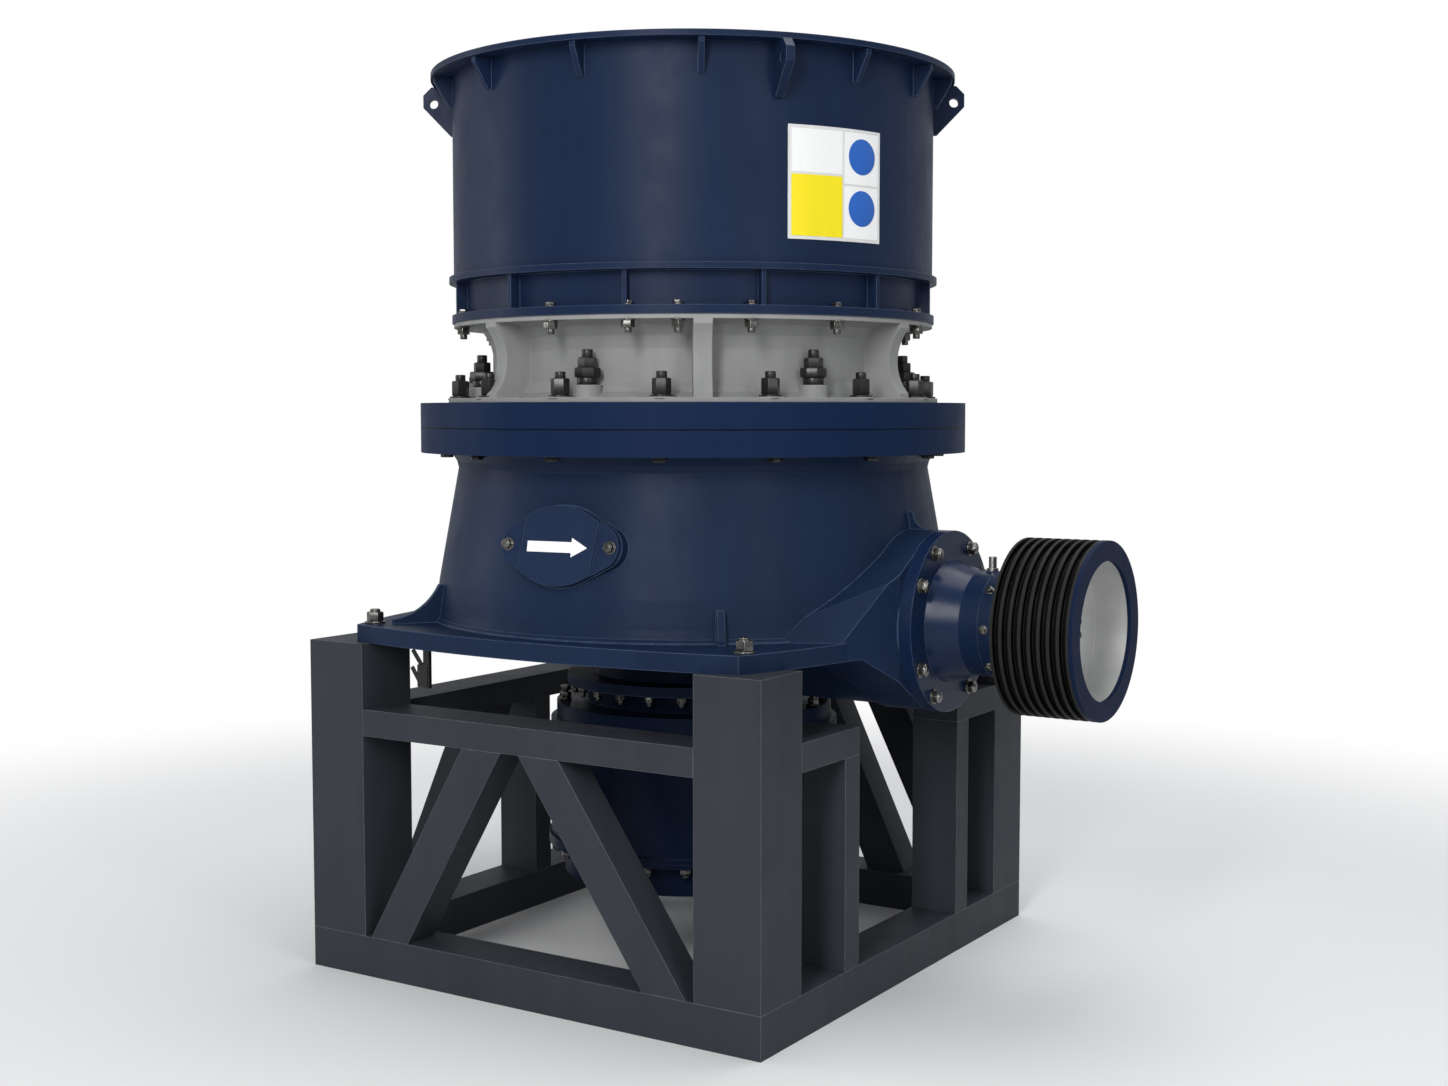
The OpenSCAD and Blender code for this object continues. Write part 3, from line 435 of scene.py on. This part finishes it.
def makeMetal(name, look):
    material, tree, surface, coord, rounded = startMaterial(name, look["edge"])
    colour, detail = look["colour"], metalDetail
    surface.inputs["Metallic"].default_value = look["metal"]
    tarnish = addRange(tree, addNoise(tree, coord, *detail["tarnish"]), detail["tarnishRange"], (0, 1))
    body = mixColour(tree, tarnish, colour, scaled(colour, look["dark"]))
    # painted highlight: edges are made lighter than the metal around them
    highlight = addMath(tree, "MULTIPLY", edgeMask(tree, rounded), detail["edgeHighlightShare"])
    highlighted = mixColour(tree, highlight, body, scaled(colour, look["edgeHighlightLift"]))
    tree.links.new(highlighted, surface.inputs["Base Color"])
    addSheen(tree, coord, surface, look["roughness"], detail)
    # turning marks round the drive shaft's axis; at scale 1 the texture's rings are pi / 10 apart
    centre = addNode(tree, "ShaderNodeMapping", {"Location": (0, 0, -shaftZ)})
    tree.links.new(coord, centre.inputs["Vector"])
    fineness = {"Scale": math.pi / (10 * look["ringSize"]), "Distortion": detail["markDistortion"],
                "Detail": detail["markDetail"]}
    marks = addNode(tree, "ShaderNodeTexWave", fineness,
                    wave_type="RINGS", rings_direction="X", wave_profile="SIN")
    tree.links.new(centre.outputs["Vector"], marks.inputs["Vector"])
    addBump(tree, surface, marks.outputs["Fac"], rounded, look["ringBump"], detail["markDepth"])
    return material


finishes = {name: makePaint(name, look) for name, look in paintFinishes.items()}
finishes.update({name: makeMetal(name, look) for name, look in metalFinishes.items()})

# nodes whose finish differs a little from the others of their slot
otherFinish = {"pulley_face_ring": "faceBlue", "inspection_cover": "coverBlue"}
for row in frame["record"]["subparts"]:
    finish = finishes[otherFinish.get(row["node"], row["material_slot"])]
    for slot in bpy.data.objects[row["node"]].material_slots:
        slot.material = finish
print("finishes made:", len(finishes))


# tools for the small pieces
smallPieces = {
    "chamferSteps": 2,
    "endFace": 0.9,       # the normal of a rod's end points up or down by more than this
    "smoothAngle": 35,
    "turnStep": 17,       # degrees that each copy is turned on from the one before
}


def clearSelection():
    bpy.ops.object.select_all(action="DESELECT")


def makeActive(piece):
    clearSelection()
    piece.select_set(True)
    bpy.context.view_layer.objects.active = piece


def pickOnly(piece, kind, test):
    # edit mode, with only the faces or edges that pass the test selected
    bpy.ops.object.mode_set(mode="EDIT")
    bpy.ops.mesh.select_mode(type=kind)
    bpy.ops.mesh.select_all(action="DESELECT")
    bpy.ops.object.mode_set(mode="OBJECT")
    for part in {"FACE": piece.data.polygons, "EDGE": piece.data.edges}[kind]:
        part.select = test(part)
    bpy.ops.object.mode_set(mode="EDIT")


def joinAll(parts, name):
    clearSelection()
    for part in parts:
        part.select_set(True)
    bpy.context.view_layer.objects.active = parts[0]
    if len(parts) > 1:
        bpy.ops.object.join()
    joined = bpy.context.object
    joined.name = name
    joined.data.name = name
    bpy.ops.object.transform_apply(location=True, rotation=True, scale=True)
    return joined


def dress(piece, finish, body="machine"):
    piece.data.materials.clear()
    piece.data.materials.append(finishes[finish])
    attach(piece, body)


def startRod(sides, radius, low, high, chamfer):
    # an upright rod or hexagon with its rims chamfered
    clearSelection()
    bpy.ops.mesh.primitive_cylinder_add(vertices=sides, radius=radius, depth=high - low,
                                        location=(0, 0, (low + high) / 2))
    rod = bpy.context.object
    pickOnly(rod, "FACE", lambda face: abs(face.normal.z) > smallPieces["endFace"])
    bpy.ops.mesh.bevel(offset=chamfer, segments=smallPieces["chamferSteps"], affect="EDGES")
    bpy.ops.object.mode_set(mode="OBJECT")
    return rod


def buildStack(name, layers):
    stack = joinAll([startRod(*layer) for layer in layers], name)
    bpy.ops.object.shade_smooth_by_angle(angle=math.radians(smallPieces["smoothAngle"]))
    return stack


def spread(master, places, name):
    # one copy with its own mesh at each place; the stack's upright follows the given direction
    copies = []
    for count, (place, upright) in enumerate(places):
        makeActive(master)
        bpy.ops.object.duplicate(linked=False)
        copy = bpy.context.object
        lean = Vector(upright).to_track_quat("Z", "X").to_matrix().to_4x4()
        turn = Matrix.Rotation(math.radians(smallPieces["turnStep"] * count), 4, "Z")
        copy.matrix_world = Matrix.Translation(place) @ lean @ turn
        copies.append(copy)
    makeActive(master)
    bpy.ops.object.delete()
    return joinAll(copies, name)


def fasten(name, layers, places, finish, body="machine"):
    dress(spread(buildStack(name + "_master", layers), places, name), finish, body)


def around(radius, height, angles):
    return [(radius * math.cos(math.radians(a)), radius * math.sin(math.radians(a)), height) for a in angles]


def standing(radius, height, angles, upright=up):
    return [(place, upright) for place in around(radius, height, angles)]


def evenAngles(first, count):
    return [first + 360 / count * k for k in range(count)]


def onShaft(x, radius, angle):
    # angles are measured from straight up
    turn = math.radians(angle)
    return (x, -radius * math.sin(turn), shaftZ + radius * math.cos(turn))


def offShaft(point):
    # a place, and the direction to it from the drive shaft's axis
    place = Vector(point)
    return (place, (0, place.y, place.z - shaftZ))


# studs and nuts that clamp the top shell to the rings
# here and below, a stack's layers from below are: sides, radius, low, high, chamfer
studs = {
    "count": 15,
    "first": -63.6,
    "radius": 0.710,
    "seat": 1.687,
    "seatThick": 0.002,
    "headRadius": 0.752,
    "headSeat": 1.527,
    "nut": ((28, 0.032, 0, 0.005, 0.001), (6, 0.0262, 0.005, 0.051, 0.004),
            (20, 0.0150, 0.049, 0.069, 0.003)),
    "spotFace": ((32, 0.037, -0.004, 0.002, 0.001), (28, 0.030, -0.004, 0.0025, 0.0004)),
    "head": ((24, 0.0215, 0, 0.003, 0.0008), (6, 0.0195, 0.003, 0.015, 0.002)),
}


def makeStuds():
    angles = evenAngles(studs["first"], studs["count"])
    nuts = standing(studs["radius"], studs["seat"] + studs["seatThick"], angles)
    fasten("ring_studs", studs["nut"], nuts, "blackNuts")
    fasten("stud_seats", studs["spotFace"], standing(studs["radius"], studs["seat"], angles), "cast_grey")
    heads = standing(studs["headRadius"], studs["headSeat"], angles, down)
    fasten("ring_stud_heads", studs["head"], heads, "blackNuts")


makeStuds()


# adjusting stacks on the six bosses
bossStacks = {
    "radius": 0.645,
    "seat": 1.722,
    "angles": (29, -29, 90, -90, 151, 209),
    "stack": ((32, 0.029, 0, 0.021, 0.003), (8, 0.0385, 0.020, 0.048, 0.005),
              (6, 0.0270, 0.047, 0.076, 0.004), (20, 0.0155, 0.075, 0.098, 0.003)),
}


def makeBossStacks():
    angles = [castAngle + a for a in bossStacks["angles"]]
    places = standing(bossStacks["radius"], bossStacks["seat"], angles)
    fasten("boss_stacks", bossStacks["stack"], places, "blackNuts")


makeBossStacks()
print("studs and boss stacks made")


# bolts through the hopper's bottom flange
flangeBolts = {
    "radius": 0.712,
    "angles": (-128, -90, -71, -60, -44, -23, 9, 52, 90, 109, 120, 136, 157, -171),
    "top": 1.935,
    "under": 1.898,
    "head": ((24, 0.0150, 0, 0.003, 0.0006), (6, 0.0130, 0.003, 0.013, 0.0015)),
    "nut": ((28, 0.0205, 0, 0.004, 0.0008), (6, 0.0190, 0.004, 0.024, 0.0025),
            (18, 0.0105, 0.023, 0.038, 0.002)),
}


def makeFlangeBolts():
    radius, angles = flangeBolts["radius"], flangeBolts["angles"]
    heads = standing(radius, flangeBolts["top"], angles)
    fasten("hopper_bolt_heads", flangeBolts["head"], heads, "brightBolts")
    nuts = standing(radius, flangeBolts["under"], angles, down)
    fasten("hopper_bolt_nuts", flangeBolts["nut"], nuts, "brightBolts")


makeFlangeBolts()


# corner bolts of the foot flange
footBolts = {
    "x": 0.640,
    "y": 0.735,
    "seat": 1.028,
    "bolt": ((32, 0.0300, 0, 0.005, 0.001), (6, 0.0250, 0.005, 0.033, 0.003),
             (20, 0.0150, 0.032, 0.041, 0.002)),
}


def makeFootBolts():
    places = [((sideX * footBolts["x"], sideY * footBolts["y"], footBolts["seat"]), up)
              for sideX in (-1, 1) for sideY in (-1, 1)]
    fasten("foot_bolts", footBolts["bolt"], places, "brightBolts")


makeFootBolts()


# bolts of the drive housing and its end cover
driveBolts = {
    "faceX": 0.877,
    "ring": 0.2315,
    "angles": (30, 60, 120, 150, -30, -60, -120, -150),
    "bolt": ((28, 0.0215, 0, 0.004, 0.0008), (6, 0.0185, 0.004, 0.021, 0.0025),
             (20, 0.0145, 0.0205, 0.0225, 0.0006), (16, 0.0095, 0.022, 0.0245, 0.001)),
    "coverX": 1.041,
    "coverRing": 0.1465,
    "coverAngles": (45, 90, 135, 180, 225, 270, 315),
    "screw": ((24, 0.0125, -0.003, 0.002, 0.0006), (6, 0.0105, 0.002, 0.0115, 0.0015)),
}


def makeDriveBolts():
    bolts = [(onShaft(driveBolts["faceX"], driveBolts["ring"], a), alongShaft)
             for a in driveBolts["angles"]]
    fasten("housing_bolts", driveBolts["bolt"], bolts, "brightBolts")
    screws = [offShaft(onShaft(driveBolts["coverX"], driveBolts["coverRing"], a))
              for a in driveBolts["coverAngles"]]
    fasten("end_cover_screws", driveBolts["screw"], screws, "brightBolts")


makeDriveBolts()
print("flange and drive bolts made")


# inspection cover: bolts and painted arrow
cover = {
    "angle": -85,
    "lean": 10.26,
    "radius": 0.7522,
    "height": 1.281,
    "face": 0.028,       # from the wall line to the cover's flat middle
    "boltAt": 0.163,
    "boltDrop": 0.008,
    "bolt": ((28, 0.0180, -0.002, 0.004, 0.0008), (6, 0.0150, 0.004, 0.018, 0.002),
             (16, 0.0080, 0.0175, 0.021, 0.001)),
}
arrowShape = {
    "tail": -0.096,
    "tip": 0.0945,
    "shaft": 0.0295,
    "head": 0.0535,
    "headLength": 0.0492,
    "barb": 0.0004,      # length in which the shaft widens into the head
    "point": 0.02,       # the tip's width beside the head's
    "thick": 0.0008,
    "rise": -0.004,
}


def coverFrame():
    a = math.radians(cover["angle"])
    lean = math.radians(cover["lean"])
    out = Vector((math.cos(a), math.sin(a), 0))
    right = Vector((-math.sin(a), math.cos(a), 0))
    upright = Vector(up) * math.cos(lean) - out * math.sin(lean)
    normal = out * math.cos(lean) + Vector(up) * math.sin(lean)
    place = out * cover["radius"] + Vector((0, 0, cover["height"]))
    return Matrix.Translation(place) @ Matrix((right, upright, normal)).transposed().to_4x4()


def makeCoverBolts(here):
    normal = here.to_3x3() @ Vector(up)
    lift = cover["face"] - cover["boltDrop"]
    places = [(here @ Vector((side * cover["boltAt"], 0, lift)), normal) for side in (-1, 1)]
    fasten("cover_bolts", cover["bolt"], places, "brightBolts")


def makeArrow(here):
    neck = arrowShape["tip"] - arrowShape["headLength"]
    middle = (neck + arrowShape["tail"]) / 2
    clearSelection()
    bpy.ops.mesh.primitive_plane_add(size=1, location=(0, 0, 0))
    arrow = bpy.context.object
    arrow.scale = (neck - arrowShape["tail"], arrowShape["shaft"], 1)
    arrow.location = (middle, 0, 0)
    bpy.ops.object.transform_apply(location=True, rotation=True, scale=True)
    # widen the right edge into the head and draw it out to a point
    corners = arrow.data.vertices
    pickOnly(arrow, "EDGE", lambda edge: all(corners[v].co.x > middle for v in edge.vertices))
    bpy.ops.mesh.extrude_region_move(TRANSFORM_OT_translate={"value": (arrowShape["barb"], 0, 0)})
    bpy.ops.transform.resize(value=(1, arrowShape["head"] / arrowShape["shaft"], 1))
    bpy.ops.mesh.extrude_region_move(TRANSFORM_OT_translate={"value": (arrowShape["headLength"], 0, 0)})
    bpy.ops.transform.resize(value=(1, arrowShape["point"], 1))
    bpy.ops.mesh.select_mode(type="FACE")
    bpy.ops.mesh.select_all(action="SELECT")
    bpy.ops.mesh.normals_make_consistent(inside=False)
    bpy.ops.mesh.extrude_region_move(TRANSFORM_OT_translate={"value": (0, 0, arrowShape["thick"])})
    bpy.ops.mesh.select_all(action="SELECT")
    bpy.ops.mesh.normals_make_consistent(inside=False)
    bpy.ops.object.mode_set(mode="OBJECT")
    arrow.matrix_world = here @ Matrix.Translation((0, arrowShape["rise"], cover["face"]))
    dress(joinAll([arrow], "cover_arrow"), "arrowWhite")


makeCoverBolts(coverFrame())
makeArrow(coverFrame())


# plain coloured panels on the hopper's plate
label = {
    "radius": 0.728,
    "thick": 0.0007,
    "start": -36.2,
    "sweep": 24.8,
    "low": 2.113,
    "high": 2.418,
    "stepsPerDegree": 2,
    "mergeGap": 0.00002,
    # from and to across the plate, from and to up the plate, finish
    "panels": {
        "label_panel_yellow": (0.03, 0.545, 0.03, 0.57, "labelYellow"),
        "label_panel_white": (0.03, 0.545, 0.59, 0.97, "arrowWhite"),
        "label_panel_upper": (0.565, 0.97, 0.51, 0.97, "arrowWhite"),
        "label_panel_lower": (0.565, 0.97, 0.03, 0.49, "arrowWhite"),
    },
    "disc": ((48, 0.049, -0.0015, 0.0012, 0.0004),),
    "discAcross": 0.768,
    "discHeights": (0.30, 0.76),
}


def labelAngle(share):
    return label["start"] + label["sweep"] * share


def labelHeight(share):
    return label["low"] + (label["high"] - label["low"]) * share


def curvedPanel(name, fromShare, toShare, low, high, finish):
    # a small upright section spun round the hopper's axis
    lift = label["thick"]
    sweep = label["sweep"] * (toShare - fromShare)
    bottom, top = labelHeight(low), labelHeight(high)
    clearSelection()
    bpy.ops.mesh.primitive_plane_add(size=1, location=(label["radius"] + lift / 2, 0, (bottom + top) / 2),
                                     rotation=(math.radians(90), 0, 0))
    panel = bpy.context.object
    panel.scale = (lift, top - bottom, 1)
    bpy.ops.object.transform_apply(location=True, rotation=True, scale=True)
    bpy.ops.object.mode_set(mode="EDIT")
    bpy.ops.mesh.select_all(action="SELECT")
    bpy.ops.mesh.spin(steps=round(sweep * label["stepsPerDegree"]), angle=-math.radians(sweep),
                      center=(0, 0, 0), axis=up)
    bpy.ops.mesh.select_all(action="SELECT")
    bpy.ops.mesh.remove_doubles(threshold=label["mergeGap"])
    bpy.ops.mesh.normals_make_consistent(inside=False)
    bpy.ops.object.mode_set(mode="OBJECT")
    panel.rotation_euler = (0, 0, math.radians(labelAngle(fromShare)))
    dress(joinAll([panel], name), finish)


def makeLabel():
    for name, values in label["panels"].items():
        curvedPanel(name, *values)
    angles = [labelAngle(label["discAcross"])]
    discs = [place for share in label["discHeights"]
             for place in around(label["radius"], labelHeight(share), angles)]
    places = [(place, (place[0], place[1], 0)) for place in discs]
    fasten("label_discs", label["disc"], places, "labelBlue")


makeLabel()
print("cover and label made")


# nuts under the hub's flange and under the cylinder's flange
lowerNuts = {
    "hub_flange_nuts": {
        "radius": 0.368, "seat": 0.820, "count": 24, "first": -62.4,
        "nut": ((24, 0.0170, 0, 0.003, 0.0006), (6, 0.0150, 0.003, 0.018, 0.002),
                (16, 0.0085, 0.0175, 0.031, 0.0015))},
    "cylinder_nuts": {
        "radius": 0.428, "seat": 0.330, "count": 24, "first": -60,
        "nut": ((24, 0.0180, 0, 0.003, 0.0006), (6, 0.0165, 0.003, 0.020, 0.002),
                (16, 0.0090, 0.0195, 0.028, 0.0015))},
}

for ringName, ring in lowerNuts.items():
    nutPlaces = standing(ring["radius"], ring["seat"], evenAngles(ring["first"], ring["count"]), down)
    fasten(ringName, ring["nut"], nutPlaces, "brightBolts")


# pipe unions on the cylinder's flange, a grease nipple on the housing and a bracket under the foot flange
fittings = {
    "unionRing": 0.398,
    "unionSeat": 0.765,
    "unionAngles": (-142, 29, 8),
    "union": ((24, 0.0200, -0.001, 0.004, 0.001), (6, 0.0180, 0.004, 0.022, 0.002),
              (24, 0.0110, 0.021, 0.030, 0.001), (6, 0.0150, 0.029, 0.042, 0.002)),
    "nippleAt": (0.951, 0.036, 1.1955),
    "nipple": ((6, 0.0085, -0.004, 0.006, 0.001), (16, 0.0045, 0.005, 0.014, 0.001),
               (16, 0.0060, 0.013, 0.018, 0.002)),
    "bracketBars": (
        # low corner, high corner and lean in degrees
        ((-0.393, -0.806, 0.862), (-0.372, -0.792, 0.978), 0),
        ((-0.410, -0.812, 0.866), (-0.374, -0.804, 0.930), 0),
        ((-0.424, -0.802, 0.915), (-0.412, -0.796, 0.976), -38),
        ((-0.430, -0.802, 0.868), (-0.418, -0.796, 0.925), -35),
    ),
    "barChamfer": 0.0012,
}


def makeBar(low, high, lean):
    low, high = Vector(low), Vector(high)
    clearSelection()
    bpy.ops.mesh.primitive_cube_add(size=1, location=(low + high) / 2, rotation=(0, math.radians(lean), 0))
    bar = bpy.context.object
    bar.scale = high - low
    bpy.ops.object.transform_apply(location=False, rotation=False, scale=True)
    bpy.ops.object.mode_set(mode="EDIT")
    bpy.ops.mesh.select_all(action="SELECT")
    bpy.ops.mesh.bevel(offset=fittings["barChamfer"], segments=smallPieces["chamferSteps"], affect="EDGES")
    bpy.ops.object.mode_set(mode="OBJECT")
    return bar


def makeFittings():
    unions = standing(fittings["unionRing"], fittings["unionSeat"], fittings["unionAngles"])
    fasten("pipe_unions", fittings["union"], unions, "brightBolts")
    fasten("grease_nipple", fittings["nipple"], [offShaft(fittings["nippleAt"])], "brightBolts")
    dress(joinAll([makeBar(*bar) for bar in fittings["bracketBars"]], "flange_bracket"), "blackNuts")


makeFittings()


# plate and screws that hold the pulley on its shaft
pulleyPlate = {
    "x": 1.2355,
    "plate": ((64, 0.055, 0, 0.006, 0.002), (48, 0.026, 0.005, 0.009, 0.0015)),
    "thick": 0.006,
    "screwRing": 0.038,
    "screws": 6,
    "screw": ((20, 0.0105, 0, 0.002, 0.0005), (6, 0.0092, 0.002, 0.010, 0.001)),
}


def makePulleyPlate():
    centre = onShaft(pulleyPlate["x"], 0, 0)
    fasten("pulley_plate", pulleyPlate["plate"], [(centre, alongShaft)], "machined_steel", "rotor")
    x = pulleyPlate["x"] + pulleyPlate["thick"]
    screws = [(onShaft(x, pulleyPlate["screwRing"], a), alongShaft)
              for a in evenAngles(0, pulleyPlate["screws"])]
    fasten("pulley_plate_screws", pulleyPlate["screw"], screws, "blackNuts", "rotor")


makePulleyPlate()
print("nuts and pulley plate made")
